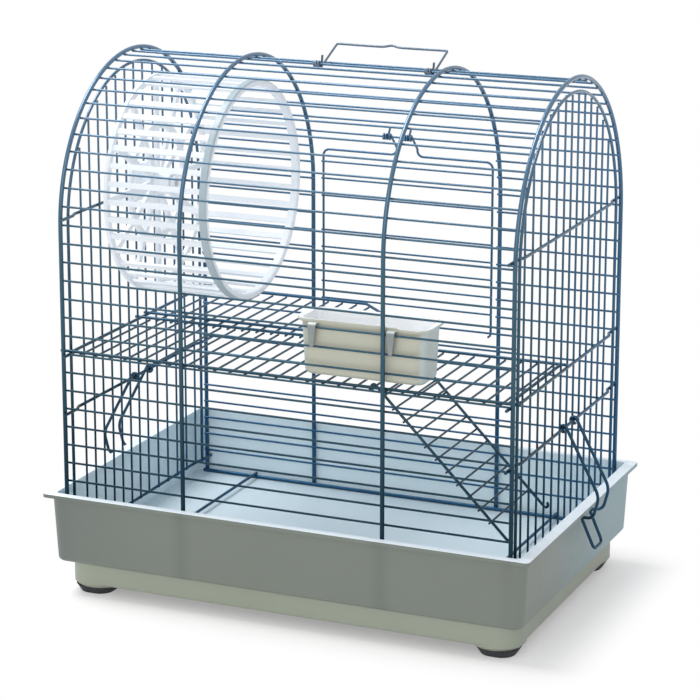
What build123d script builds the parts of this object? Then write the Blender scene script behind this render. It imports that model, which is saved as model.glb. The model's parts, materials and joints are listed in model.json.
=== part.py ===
from build123d import *
from math import atan2, ceil, cos, degrees, hypot, pi, radians, sin, sqrt
import os

# Two-storey wire hamster cage: four arched hoops stand in a plastic tub.
# X is the length (right is +), Y is the depth (back is +), Z is up.
# The origin is on the floor, under the middle of the cage.  Sizes are in millimetres.

# ---- driving dimensions ----
# wire diameters
HOOP_WIRE = 2.8
PANEL_HOOP_WIRE = 2.0
LONG_WIRE = 1.4
UPRIGHT_WIRE = 1.4
CROSS_BAR_WIRE = 2.0
RAIL_WIRE = 2.4
FLOOR_BAR_WIRE = 2.0
SHELF_FRAME_WIRE = 2.0
SLAT_WIRE = 1.4
LADDER_RAIL_WIRE = 1.8
RUNG_WIRE = 1.3
DOOR_FRAME_WIRE = 1.6
DOOR_WIRE = 1.3
HANDLE_WIRE = 1.5
CLIP_WIRE = 2.0

# clearances
WELD_GAP = 0.02          # two welded wires touch; this keeps their skins apart
RUNNING_CLEARANCE = 0.08  # radial, an eye or hub turning on its wire or pin
LOOSE_CLEARANCE = 0.3    # a piece that is laid against another

# wire cage
HOOP_RADIUS = 101.0      # centre line, half the depth of the cage
SPRING_HEIGHT = 242.0    # where the straight legs meet the round roof
END_HOOP_X = 151.5
MIDDLE_HOOP_X = 68.0
WIRE_PITCH = 12.0        # from one long wire to the next, along the hoop
LOWEST_WIRE_GAP = 15.0   # least height of a long wire above the tub's floor
HINGE_WIRE = 10          # the long wire that the door hangs on
LATCH_WIRE = 21          # the long wire that the door latches under

# tub, plinth and feet
FOOT_HEIGHT = 5.0
FOOT_TOP = 28.0
FOOT_BOTTOM = 22.0
FOOT_INSET = 16.0
BOSS_DROP = 2.5
BOSS_SIZE = 34.0
PLINTH_HEIGHT = 15.0
PLINTH_INSET = 5.0
PLINTH_CORNER = 16.0
PLINTH_WALL = 2.2
TUB_HEIGHT = 46.3
TUB_WALL = 1.5
TUB_FLOOR = 1.8
TUB_TAPER_X = 2.4        # each end leans out by this much
TUB_TAPER_Y = 1.0
TUB_CORNER = 7.0
TUB_FOOT_ROUND = 3.0
TUB_END_ROOM = 5.4       # from the end hoop's skin to the inside of the tub
RIM_THICKNESS = 2.5
RIM_OVERHANG = 3.6
RIM_LIP = 2.4            # at each end the rim also stands in over the wall
RIM_CORNER = 3.0

# end panels
PANEL_HOOP_INSET = 9.0    # from the end hoop's centre line to the panel hoop's
UPPER_BAR_DROP = 6.2      # the upper bar passes this far below the wheel's axle
SHELF_BAR_HEIGHT = 160.3
CLIP_BAR_HEIGHT = 122.0
LOWER_BAR_HEIGHT = 35.7
BAR_STEP_ROOM = 8.0       # the bars step inwards this far before the panel hoop's leg
BAR_STEP_LENGTH = 5.0
BAR_STUB = 3.4            # how far a bar's end pokes out past the hoop
FIRST_UPRIGHT_GAP = 13.5  # from the panel hoop's leg to the first upright
LAST_UPRIGHT_GAP = 12.0   # least gap from the last upright to the other leg
WIDE_UPRIGHTS = 5         # gaps of the wide pitch, then gaps of the close pitch
WIDE_PITCH = 14.1
CLOSE_PITCH = 12.3

# floor bars
FLOOR_BAR_X = 112.0

# shelf and loft
SHELF_REAR_SETBACK = 2.0  # the rear bar is this far in front of the middle
SHELF_END_STUB = 3.4
SLAT_COUNT = 28
SLAT_PITCH = 10.5
SLAT_STUB = 0.4
LOFT_FRONT_Y = 10.2
LOFT_BACK_GAP = 8.4       # from the loft's back bar to the back wires
LOFT_RIGHT_SETBACK = 6.0  # the loft stops this far left of the middle
LOFT_CHAMFER = 18.0
LOFT_NOTCH = 13.0
FRAME_BEND = 4.0

# ladder
LADDER_SLAT = 20          # which slat the ladder hooks over, counted from the left
LADDER_FRONT_GAP = 6.9    # from the shelf's front bar to the front rail
LADDER_WIDTH = 68.0
LADDER_LENGTH = 122.0
RUNG_PITCH = 10.0
RUNG_START = 8.0
RUNG_COUNT = 11
RUNG_STUB = 0.9
LADDER_CURL = 1.6
HOOK_TURN = 215.0

# door
DOOR_WIDTH = 123.0
DOOR_TOP_DROP = 14.4      # the door's top bar is this far below its hinge wire
DOOR_CORNER = 4.5
DOOR_FOOT_RISE = 3.4      # the door's free foot is this far above the latch wire
DOOR_EYE_SPACING = 15.0
DOOR_EYE_BEND = 5.0

# handle
HANDLE_LEFT = 17.0        # left leg, to the left of the middle
HANDLE_RIGHT = 59.0       # right leg, to the right of the middle
HANDLE_REACH = 27.0
HANDLE_LEAN = 66.0        # back from upright
HANDLE_BUMP = 2.0
HANDLE_BUMP_WIDTH = 13.0
HANDLE_BEND = 4.0

# clips
CLIP_WIDTH = 20.4
CLIP_LOOP_WIDTH = 16.0
CLIP_RIGHT_Y = 4.35
CLIP_LEFT_Y = 3.8
CLIP_KNEE_OUT = 24.5      # how far out of the bar the clip's knee stands
CLIP_KNEE_DROP = 42.0
CLIP_FINGER_DROP = 20.0
CLIP_NOSE_COVER = 2.2     # how far the nose reaches under the rim

# bowl
BOWL_LENGTH = 83.0
BOWL_CENTRE_X = 52.3
BOWL_DEPTH = 30.0
BOWL_HEIGHT = 35.5
BOWL_RIM_RISE = 2.0       # the rim stands this much above the top of its hooks
BOWL_WALL = 1.8
BOWL_TAPER = 1.6
BOWL_CORNER = 7.0
BOWL_RIM = 2.0
BOWL_TAB_WIDTH = 4.8
BOWL_TAB_THICKNESS = 1.6
BOWL_TAB_DROP = 14.0
BOWL_LEFT_TAB_X = 21.0
BOWL_RIGHT_TAB_X = 72.7
BOWL_SHELF_GAP = 2.0      # least height of the bowl above the shelf

# exercise wheel
WHEEL_RADIUS = 71.8
WHEEL_LIFT = 3.2          # above the middle between the shelf and the roof
WHEEL_DEPTH = 72.5
WHEEL_PANEL_GAP = 11.2    # from the uprights of the left panel to the wheel's back
WHEEL_RING_DEPTH = 5.0
WHEEL_RING_WIDTH = 4.4
WHEEL_DISC_THICKNESS = 2.4
WHEEL_RUNGS = 38
WHEEL_RUNG_WIDTH = 3.6
WHEEL_RUNG_THICKNESS = 1.7
WHEEL_SPOKES = 12
WHEEL_SPOKE_WIDTH = 4.0
WHEEL_HUB_RADIUS = 8.0
WHEEL_HUB_LENGTH = 13.0
AXLE_DIAMETER = 5.0
AXLE_END_ROOM = 0.4
CAP_RADIUS = 5.0
CAP_THICKNESS = 2.0
BRACKET_WIDTH = 27.0
BRACKET_HEIGHT = 24.0
BRACKET_PLATE = 3.0
BRACKET_BOSS = 6.5
TONGUE_WIDTH = 8.0
TONGUE_THICKNESS = 4.0
TONGUE_HOOK_DROP = 9.0

# ---- sizes that follow ----
plinth_bottom = FOOT_HEIGHT + BOSS_DROP
tub_bottom = plinth_bottom + PLINTH_HEIGHT
floor_top = tub_bottom + TUB_FLOOR
rim_top = tub_bottom + TUB_HEIGHT
rim_under = rim_top - RIM_THICKNESS

long_wire_radius = HOOP_RADIUS - HOOP_WIRE / 2 - LONG_WIRE / 2 - WELD_GAP
roof_quarter = HOOP_RADIUS * pi / 2
wires_per_side = int((SPRING_HEIGHT + roof_quarter - floor_top - LOWEST_WIRE_GAP) / WIRE_PITCH)

tub_inner_y = HOOP_RADIUS + HOOP_WIRE / 2 + LOOSE_CLEARANCE
tub_inner_x = END_HOOP_X + HOOP_WIRE / 2 + TUB_END_ROOM
tub_foot_y = tub_inner_y + TUB_WALL
tub_foot_x = tub_inner_x + TUB_WALL
tub_top_y = tub_foot_y + TUB_TAPER_Y
tub_top_x = tub_foot_x + TUB_TAPER_X
rim_y = tub_top_y + RIM_OVERHANG
rim_x = tub_top_x + RIM_OVERHANG

# layers of an end panel, from the hoop's inner face
hoop_inner_face = END_HOOP_X - HOOP_WIRE / 2
panel_hoop_x = hoop_inner_face + PANEL_HOOP_WIRE / 2
upright_x = hoop_inner_face - UPRIGHT_WIRE / 2 - WELD_GAP
bar_x = upright_x + UPRIGHT_WIRE / 2 + CROSS_BAR_WIRE / 2 + WELD_GAP
bar_end_x = hoop_inner_face - CROSS_BAR_WIRE / 2 - WELD_GAP
upright_inner_face = upright_x - UPRIGHT_WIRE / 2

panel_hoop_radius = HOOP_RADIUS - PANEL_HOOP_INSET
bar_straight_half = panel_hoop_radius - BAR_STEP_ROOM

shelf_z = SHELF_BAR_HEIGHT + CROSS_BAR_WIRE / 2 + SHELF_FRAME_WIRE / 2 + WELD_GAP
slat_z = shelf_z - SHELF_FRAME_WIRE / 2 - SLAT_WIRE / 2 - WELD_GAP
shelf_front_y = -(long_wire_radius - LONG_WIRE / 2 - LOOSE_CLEARANCE - SHELF_FRAME_WIRE / 2)
shelf_rear_y = -SHELF_REAR_SETBACK
shelf_top = shelf_z + SHELF_FRAME_WIRE / 2
shelf_side_x = upright_inner_face - LOOSE_CLEARANCE - SHELF_FRAME_WIRE / 2
first_slat_x = -SLAT_PITCH * (SLAT_COUNT - 1) / 2

wheel_z = (shelf_top + SPRING_HEIGHT + long_wire_radius - LONG_WIRE / 2) / 2 + WHEEL_LIFT
wheel_back_x = -(upright_inner_face - WHEEL_PANEL_GAP)
wheel_front_x = wheel_back_x + WHEEL_DEPTH
upper_bar_z = wheel_z - UPPER_BAR_DROP
bar_heights = {"upper": upper_bar_z, "shelf": SHELF_BAR_HEIGHT, "clip": CLIP_BAR_HEIGHT,
               "lower": LOWER_BAR_HEIGHT}

parts = {}


# ---- helpers ----
def rod(start, end, diameter):
    """A straight round wire between two points."""
    axis = Vector(*end) - Vector(*start)
    return Solid.make_cylinder(diameter / 2, axis.length, Plane(origin=start, z_dir=axis))


def bent_wire(path, diameter):
    """A round wire that follows a path."""
    section = Plane(origin=path @ 0, z_dir=path % 0) * Circle(diameter / 2)
    return sweep(section, path=path)


def wire_height(number):
    """Height and depth of a long wire's centre, counted from the ridge."""
    along = number * WIRE_PITCH
    if along < roof_quarter:
        turn = along / HOOP_RADIUS
        return long_wire_radius * sin(turn), SPRING_HEIGHT + long_wire_radius * cos(turn)
    return long_wire_radius, SPRING_HEIGHT - (along - roof_quarter)


def arch_path(x, radius, foot):
    """A leg, a half round and a leg, in the plane at x."""
    plane = Plane(origin=(x, 0, SPRING_HEIGHT), x_dir=(0, 1, 0), z_dir=(1, 0, 0))
    leg = SPRING_HEIGHT - foot
    left_leg = plane * Line((-radius, -leg), (-radius, 0))
    roof = plane * CenterArc((0, 0), radius, 180, -180)
    right_leg = plane * Line((radius, 0), (radius, -leg))
    return Wire([left_leg.edge(), roof.edge(), right_leg.edge()])


def tangent_angle(centre, radius, point, side):
    """Direction from the centre to where a line from the point touches the circle."""
    du, dv = point[0] - centre[0], point[1] - centre[1]
    return degrees(atan2(dv, du)) + side * degrees(acos_of(radius / hypot(du, dv)))


def acos_of(value):
    return atan2(sqrt(1 - value * value), value)


def on_circle(centre, radius, angle):
    return (centre[0] + radius * cos(radians(angle)), centre[1] + radius * sin(radians(angle)))


def keep(name, *solids):
    """Puts the solids of one node together."""
    pieces = []
    for item in solids:
        pieces.extend(item.solids())
    parts[name] = pieces[0] if len(pieces) == 1 else Compound(children=pieces)


# ---- tub, plinth and feet ----
def rounded_block(half_x, half_y, corner, low, high):
    outline = RectangleRounded(2 * half_x, 2 * half_y, corner)
    return extrude(Plane.XY.offset(low) * outline, amount=high - low)


def tapered_block(low_size, high_size, corner, low, high):
    low_outline = Plane.XY.offset(low) * RectangleRounded(2 * low_size[0], 2 * low_size[1], corner)
    high_outline = Plane.XY.offset(high) * RectangleRounded(2 * high_size[0], 2 * high_size[1], corner)
    return loft([low_outline, high_outline])


def make_tub():
    outside = tapered_block((tub_foot_x, tub_foot_y), (tub_top_x, tub_top_y), TUB_CORNER, tub_bottom, rim_top)
    outside = fillet(outside.edges().group_by(Axis.Z)[0], TUB_FOOT_ROUND)
    slope_x = TUB_TAPER_X / TUB_HEIGHT
    slope_y = TUB_TAPER_Y / TUB_HEIGHT
    low_x = tub_inner_x + slope_x * TUB_FLOOR
    low_y = tub_inner_y + slope_y * TUB_FLOOR
    high_x = tub_inner_x + TUB_TAPER_X
    high_y = tub_inner_y + TUB_TAPER_Y
    inner_corner = TUB_CORNER - TUB_WALL
    inside = tapered_block((low_x, low_y), (high_x, high_y), inner_corner, floor_top, rim_under)
    mouth = rounded_block(high_x - RIM_LIP, high_y, RIM_CORNER, rim_under, rim_top)
    rim = rounded_block(rim_x, rim_y, RIM_CORNER, rim_under, rim_top)
    rim = fillet(rim.edges().group_by(Axis.Z)[-1], RIM_THICKNESS * 0.3)
    tub = outside + rim - inside - mouth
    keep("tub", tub)


def make_plinth():
    half_x = tub_foot_x - PLINTH_INSET
    half_y = tub_foot_y - PLINTH_INSET
    body = rounded_block(half_x, half_y, PLINTH_CORNER, plinth_bottom, tub_bottom)
    body = fillet(body.edges().group_by(Axis.Z)[0], PLINTH_WALL)
    hollow = rounded_block(half_x - PLINTH_WALL, half_y - PLINTH_WALL, PLINTH_CORNER - PLINTH_WALL,
                           plinth_bottom, tub_bottom - PLINTH_WALL)
    plinth = body - hollow
    for sx in (-1, 1):
        for sy in (-1, 1):
            spot = Pos(sx * (half_x - BOSS_SIZE / 2), sy * (half_y - BOSS_SIZE / 2))
            outline = spot * RectangleRounded(BOSS_SIZE, BOSS_SIZE, PLINTH_CORNER)
            foot_z = FOOT_HEIGHT
            boss = extrude(Plane.XY.offset(foot_z) * outline, amount=tub_bottom - foot_z)
            boss = chamfer(boss.edges().group_by(Axis.Z)[0], BOSS_DROP * 0.9)
            plinth += boss
    keep("plinth", plinth)


def make_feet():
    x = tub_foot_x - PLINTH_INSET - FOOT_INSET
    y = tub_foot_y - PLINTH_INSET - FOOT_INSET
    names = {(-1, -1): "foot_front_left", (1, -1): "foot_front_right",
             (-1, 1): "foot_rear_left", (1, 1): "foot_rear_right"}
    for (sx, sy), name in names.items():
        low = RectangleRounded(FOOT_BOTTOM, FOOT_BOTTOM, FOOT_BOTTOM * 0.4)
        high = RectangleRounded(FOOT_TOP, FOOT_TOP, FOOT_TOP * 0.4)
        foot = loft([low, Plane.XY.offset(FOOT_HEIGHT) * high])
        keep(name, Pos(sx * x, sy * y) * foot)


# ---- wire cage ----
def make_hoops():
    places = {"hoop_left_end": -END_HOOP_X, "hoop_left_middle": -MIDDLE_HOOP_X,
              "hoop_right_middle": MIDDLE_HOOP_X, "hoop_right_end": END_HOOP_X}
    for name, x in places.items():
        keep(name, bent_wire(arch_path(x, HOOP_RADIUS, floor_top), HOOP_WIRE))


def long_wire(number, side, cut):
    """One long wire along X, or its two ends beside the door."""
    y, z = wire_height(number)
    end = END_HOOP_X + HOOP_WIRE / 4
    # level with a cross bar, the wire stops at the bar's inner side
    crossing = (CROSS_BAR_WIRE + LONG_WIRE) / 2 + WELD_GAP
    if any(abs(z - bar_z) < crossing for bar_z in bar_heights.values()):
        end = bar_end_x - CROSS_BAR_WIRE / 2 - WELD_GAP
    stop = MIDDLE_HOOP_X - HOOP_WIRE / 2
    spans = [(-end, -stop), (stop, end)] if cut else [(-end, end)]
    return [rod((a, side * y, z), (b, side * y, z), LONG_WIRE) for a, b in spans]


def make_long_wires():
    groups = {"ridge_wire": [], "front_roof_wires": [], "back_roof_wires": [],
              "front_wall_wires": [], "back_wall_wires": []}
    groups["ridge_wire"] += long_wire(0, 1, False)
    for number in range(1, wires_per_side + 1):
        on_roof = number * WIRE_PITCH < roof_quarter
        beside_door = HINGE_WIRE < number < LATCH_WIRE
        groups["front_roof_wires" if on_roof else "front_wall_wires"] += long_wire(number, -1, False)
        groups["back_roof_wires" if on_roof else "back_wall_wires"] += long_wire(number, 1, beside_door)
    for name, wires in groups.items():
        keep(name, *wires)


def make_bottom_rails():
    y = HOOP_RADIUS - HOOP_WIRE / 2 - RAIL_WIRE / 2 - WELD_GAP
    z = floor_top + RAIL_WIRE / 2 + WELD_GAP
    end = END_HOOP_X + HOOP_WIRE / 2
    for name, side in (("bottom_rail_front", -1), ("bottom_rail_back", 1)):
        keep(name, rod((-end, side * y, z), (end, side * y, z), RAIL_WIRE))
    bar_z = z + RAIL_WIRE / 2 + FLOOR_BAR_WIRE / 2 + WELD_GAP
    bar_y = y + RAIL_WIRE / 2
    bars = [rod((x, -bar_y, bar_z), (x, bar_y, bar_z), FLOOR_BAR_WIRE) for x in (-FLOOR_BAR_X, FLOOR_BAR_X)]
    keep("floor_cross_bars", *bars)


# ---- end panels ----
def upright_places():
    """Wide gaps from the front leg, then close gaps up to the back leg."""
    places = [FIRST_UPRIGHT_GAP - panel_hoop_radius]
    while places[-1] <= panel_hoop_radius - LAST_UPRIGHT_GAP:
        places.append(places[-1] + (WIDE_PITCH if len(places) <= WIDE_UPRIGHTS else CLOSE_PITCH))
    return places[:-1]


def cross_bar(x_sign, z, stub):
    """A bar across the end, stepped inwards at its ends to pass inside the two hoops."""
    end_y = HOOP_RADIUS + HOOP_WIRE / 2 + stub
    step_y = bar_straight_half + BAR_STEP_LENGTH
    half = [(bar_x, bar_straight_half), (bar_end_x, step_y), (bar_end_x, end_y)]
    points = [(x_sign * x, -y, z) for x, y in reversed(half)] + [(x_sign * x, y, z) for x, y in half]
    return bent_wire(FilletPolyline(*points, radius=CROSS_BAR_WIRE), CROSS_BAR_WIRE)


def make_panel(side, x_sign):
    hoop = bent_wire(arch_path(x_sign * panel_hoop_x, panel_hoop_radius, LOWER_BAR_HEIGHT), PANEL_HOOP_WIRE)
    keep(side + "_panel_hoop", hoop)
    uprights = []
    for place in upright_places():
        y = x_sign * place
        top = SPRING_HEIGHT + sqrt(panel_hoop_radius ** 2 - y * y)
        uprights.append(rod((x_sign * upright_x, y, LOWER_BAR_HEIGHT), (x_sign * upright_x, y, top), UPRIGHT_WIRE))
    keep(side + "_panel_uprights", *uprights)
    for name, z in bar_heights.items():
        stub = BAR_STUB if z > rim_top else 0
        keep(side + "_" + name + "_bar", cross_bar(x_sign, z, stub))


# ---- shelf and loft ----
def make_shelf():
    front_end = upright_inner_face + UPRIGHT_WIRE + CROSS_BAR_WIRE + SHELF_END_STUB
    rear_end = bar_x + CROSS_BAR_WIRE / 2 + WELD_GAP
    frame = [rod((-front_end, shelf_front_y, shelf_z), (front_end, shelf_front_y, shelf_z), SHELF_FRAME_WIRE),
             rod((-rear_end, shelf_rear_y, shelf_z), (rear_end, shelf_rear_y, shelf_z), SHELF_FRAME_WIRE)]
    trim = SHELF_FRAME_WIRE / 2 + WELD_GAP
    for x in (-shelf_side_x, shelf_side_x):
        frame.append(rod((x, shelf_front_y + trim, shelf_z), (x, shelf_rear_y - trim, shelf_z), SHELF_FRAME_WIRE))
    keep("shelf_frame", *frame)
    slats = []
    for i in range(SLAT_COUNT):
        x = first_slat_x + SLAT_PITCH * i
        slats.append(rod((x, shelf_front_y - SLAT_STUB, slat_z), (x, shelf_rear_y + SLAT_STUB, slat_z), SLAT_WIRE))
    keep("shelf_slats", *slats)


def make_loft():
    left, right = -shelf_side_x, -LOFT_RIGHT_SETBACK
    back_y = long_wire_radius - LOFT_BACK_GAP
    notch_y = back_y - LOFT_NOTCH
    trim = SHELF_FRAME_WIRE / 2 + WELD_GAP
    corners = [(left, LOFT_FRONT_Y + trim), (left, notch_y), (left + LOFT_NOTCH, notch_y),
               (left + 2 * LOFT_NOTCH, back_y), (right - LOFT_CHAMFER, back_y),
               (right, back_y - LOFT_CHAMFER), (right, LOFT_FRONT_Y + trim)]
    loop = bent_wire(FilletPolyline(*[(x, y, shelf_z) for x, y in corners], radius=FRAME_BEND), SHELF_FRAME_WIRE)
    end = bar_x + CROSS_BAR_WIRE / 2 + WELD_GAP
    front = rod((-end, LOFT_FRONT_Y, shelf_z), (right + SHELF_FRAME_WIRE, LOFT_FRONT_Y, shelf_z), SHELF_FRAME_WIRE)
    keep("loft_frame", loop, front)
    slats = []
    # each loft slat lies midway between two slats of the shelf
    for i in range(int((right - first_slat_x) / SLAT_PITCH)):
        x = first_slat_x + SLAT_PITCH * (i + 0.5)
        back = back_y
        if x < left + LOFT_NOTCH:
            back = notch_y
        elif x < left + 2 * LOFT_NOTCH:
            back = notch_y + (x - left - LOFT_NOTCH)
        elif x > right - LOFT_CHAMFER:
            back = back_y - (x - right + LOFT_CHAMFER)
        slats.append(rod((x, shelf_rear_y - SLAT_STUB, slat_z), (x, back + SLAT_STUB / 2, slat_z), SLAT_WIRE))
    keep("loft_slats", *slats)


# ---- ladder ----
ladder_pivot = (first_slat_x + SLAT_PITCH * (LADDER_SLAT - 1), slat_z)
ladder_hook = SLAT_WIRE / 2 + LADDER_RAIL_WIRE / 2 + RUNNING_CLEARANCE
# the ladder leans with its curled foot against the right end panel
curl_offset = ladder_hook + LADDER_CURL
curl_reach = hypot(LADDER_LENGTH, curl_offset)
curl_x = upright_inner_face - LOOSE_CLEARANCE - LADDER_RAIL_WIRE / 2 - LADDER_CURL - ladder_pivot[0]
ladder_angle = degrees(acos_of(curl_x / curl_reach) + atan2(curl_offset, LADDER_LENGTH))


def ladder_rail(y):
    """A rail hooked over its slat, straight down the slope, with a curled foot."""
    plane = Plane(origin=(0, y, 0), x_dir=(1, 0, 0), z_dir=(0, -1, 0))
    tilt = -ladder_angle
    over = tilt + 90
    hook = CenterArc(ladder_pivot, ladder_hook, over + HOOK_TURN, -HOOK_TURN)
    start = on_circle(ladder_pivot, ladder_hook, over)
    end = (start[0] + LADDER_LENGTH * cos(radians(tilt)), start[1] + LADDER_LENGTH * sin(radians(tilt)))
    curl_centre = on_circle(end, LADDER_CURL, over)
    curl = CenterArc(curl_centre, LADDER_CURL, over - 180, 200)
    edges = [(plane * hook).edge(), (plane * Line(start, end)).edge(), (plane * curl).edge()]
    return bent_wire(Wire(edges), LADDER_RAIL_WIRE)


def make_ladder():
    front_rail = shelf_front_y + LADDER_FRONT_GAP
    rails = (front_rail, front_rail + LADDER_WIDTH)
    keep("ladder_rails", *[ladder_rail(y) for y in rails])
    tilt = radians(-ladder_angle)
    below = ladder_hook - LADDER_RAIL_WIRE / 2 - RUNG_WIRE / 2 - WELD_GAP
    rungs = []
    for i in range(RUNG_COUNT):
        along = RUNG_START + RUNG_PITCH * i
        x = ladder_pivot[0] + along * cos(tilt) - below * sin(tilt)
        z = ladder_pivot[1] + along * sin(tilt) + below * cos(tilt)
        rungs.append(rod((x, rails[0] - RUNG_STUB, z), (x, rails[1] + RUNG_STUB, z), RUNG_WIRE))
    keep("ladder_rungs", *rungs)


# ---- door ----
door_y = HOOP_RADIUS + HOOP_WIRE / 2 + LOOSE_CLEARANCE + DOOR_FRAME_WIRE / 2
door_eye = LONG_WIRE / 2 + DOOR_FRAME_WIRE / 2 + RUNNING_CLEARANCE


def door_half(x_sign):
    """Half of the door's frame: up the side, along the top, up to its eye on the hinge wire."""
    hinge = wire_height(HINGE_WIRE)
    eye_x = x_sign * DOOR_EYE_SPACING / 2
    side_x = x_sign * DOOR_WIDTH / 2
    latch_z = wire_height(LATCH_WIRE)[1]
    top_z = hinge[1] - DOOR_TOP_DROP
    shoulder = (door_y, top_z + DOOR_EYE_BEND)
    angle = tangent_angle(hinge, door_eye, shoulder, 1)
    touch = on_circle(hinge, door_eye, angle)
    if x_sign > 0:
        # the latch foot goes down past the latch wire and in under it
        foot_z = latch_z - LONG_WIRE / 2 - DOOR_FRAME_WIRE / 2 - 4 * LOOSE_CLEARANCE
        foot_y = wire_height(LATCH_WIRE)[0]
        foot = [(side_x, foot_y, foot_z), (side_x, door_y, foot_z)]
    else:
        foot_z = latch_z + DOOR_FOOT_RISE
        foot = [(side_x + 2 * DOOR_CORNER, door_y, foot_z), (side_x, door_y, foot_z)]
    points = foot + [(side_x, door_y, top_z), (eye_x, door_y, top_z),
                     (eye_x, door_y, shoulder[1]), (eye_x, touch[0], touch[1])]
    bends = [DOOR_FRAME_WIRE * 1.2, DOOR_CORNER, DOOR_EYE_BEND * 0.8, DOOR_FRAME_WIRE * 0.5]
    body = FilletPolyline(*points, radius=bends)
    plane = Plane(origin=(eye_x, 0, 0), x_dir=(0, 1, 0), z_dir=(1, 0, 0))
    eye = plane * CenterArc(hinge, door_eye, angle, 290)
    return bent_wire(Wire(body.edges() + [eye.edge()]), DOOR_FRAME_WIRE)


def make_door():
    keep("door_frame_left", door_half(-1))
    keep("door_frame_right", door_half(1))
    y = door_y - DOOR_FRAME_WIRE / 2 - DOOR_WIRE / 2 - WELD_GAP
    end = DOOR_WIDTH / 2 + DOOR_FRAME_WIRE / 2
    wires = []
    for number in range(HINGE_WIRE + 2, LATCH_WIRE):
        z = wire_height(number)[1]
        wires.append(rod((-end, y, z), (end, y, z), DOOR_WIRE))
    keep("door_wires", *wires)


# ---- handle ----
def make_handle():
    ridge_z = wire_height(0)[1]
    eye = LONG_WIRE / 2 + HANDLE_WIRE / 2 + RUNNING_CLEARANCE
    top = HANDLE_REACH
    left, right = -HANDLE_LEFT, HANDLE_RIGHT
    middle = (left + right) / 2
    half = HANDLE_BUMP_WIDTH / 2
    points = [(left, eye, 0), (left, eye, top), (middle - half, eye, top),
              (middle, eye, top + HANDLE_BUMP), (middle + half, eye, top),
              (right, eye, top), (right, eye, 0)]
    bail = FilletPolyline(*points, radius=HANDLE_BEND)
    edges = []
    for x, begin, turn in ((left, -285, 285), (right, 0, -285)):
        plane = Plane(origin=(x, 0, 0), x_dir=(0, 1, 0), z_dir=(1, 0, 0))
        edges.append((plane * CenterArc((0, 0), eye, begin, turn)).edge())
    path = Wire([edges[0]] + list(bail.edges()) + [edges[1]])
    handle = bent_wire(path, HANDLE_WIRE)
    keep("handle", Pos(0, 0, ridge_z) * (Rot(-HANDLE_LEAN, 0, 0) * handle))


# ---- clips ----
def clip_wire(x_sign, centre_y):
    """A bail clip on its bar: two eyes, two arms, a nose under the rim and a finger loop."""
    eye = CROSS_BAR_WIRE / 2 + CLIP_WIRE / 2 + RUNNING_CLEARANCE
    edge_out = rim_x - bar_x
    edge_drop = CLIP_BAR_HEIGHT - rim_under
    nose_reach = hypot(edge_out, edge_drop) + CLIP_WIRE / 2 + 2 * RUNNING_CLEARANCE
    nose_out = edge_out - CLIP_NOSE_COVER
    nose = (nose_out, -sqrt(nose_reach ** 2 - nose_out ** 2))
    knee = (CLIP_KNEE_OUT, -CLIP_KNEE_DROP)
    heel = (edge_out + 3 * CLIP_WIRE, nose[1] + CLIP_WIRE * 0.6)
    finger = (nose_out + CLIP_WIRE * 4.4, nose[1] - CLIP_FINGER_DROP)
    angle = tangent_angle((0, 0), eye, knee, 1)
    touch = on_circle((0, 0), eye, angle)
    half, loop = CLIP_WIDTH / 2, CLIP_LOOP_WIDTH / 2
    side = [(touch, half), (knee, half), (heel, half), (nose, half - CLIP_WIRE), (finger, loop)]
    points = [(u, -v, w) for (u, w), v in side] + [(u, v, w) for (u, w), v in reversed(side)]
    bends = [CLIP_WIRE * 6, CLIP_WIRE * 2.4, CLIP_WIRE * 0.8, CLIP_WIRE * 1.7]
    bends += bends[::-1]
    body = FilletPolyline(*points, radius=bends)
    edges = []
    for v, begin, turn in ((-half, angle + 280, -280), (half, angle, 280)):
        plane = Plane(origin=(0, v, 0), x_dir=(1, 0, 0), z_dir=(0, -1, 0))
        edges.append((plane * CenterArc((0, 0), eye, begin, turn)).edge())
    clip = bent_wire(Wire([edges[0]] + list(body.edges()) + [edges[1]]), CLIP_WIRE)
    turned = clip if x_sign > 0 else Rot(0, 0, 180) * clip
    return Pos(x_sign * bar_x, centre_y, CLIP_BAR_HEIGHT) * turned


def make_clips():
    keep("clip_right", clip_wire(1, CLIP_RIGHT_Y))
    keep("clip_left", clip_wire(-1, CLIP_LEFT_Y))


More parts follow.
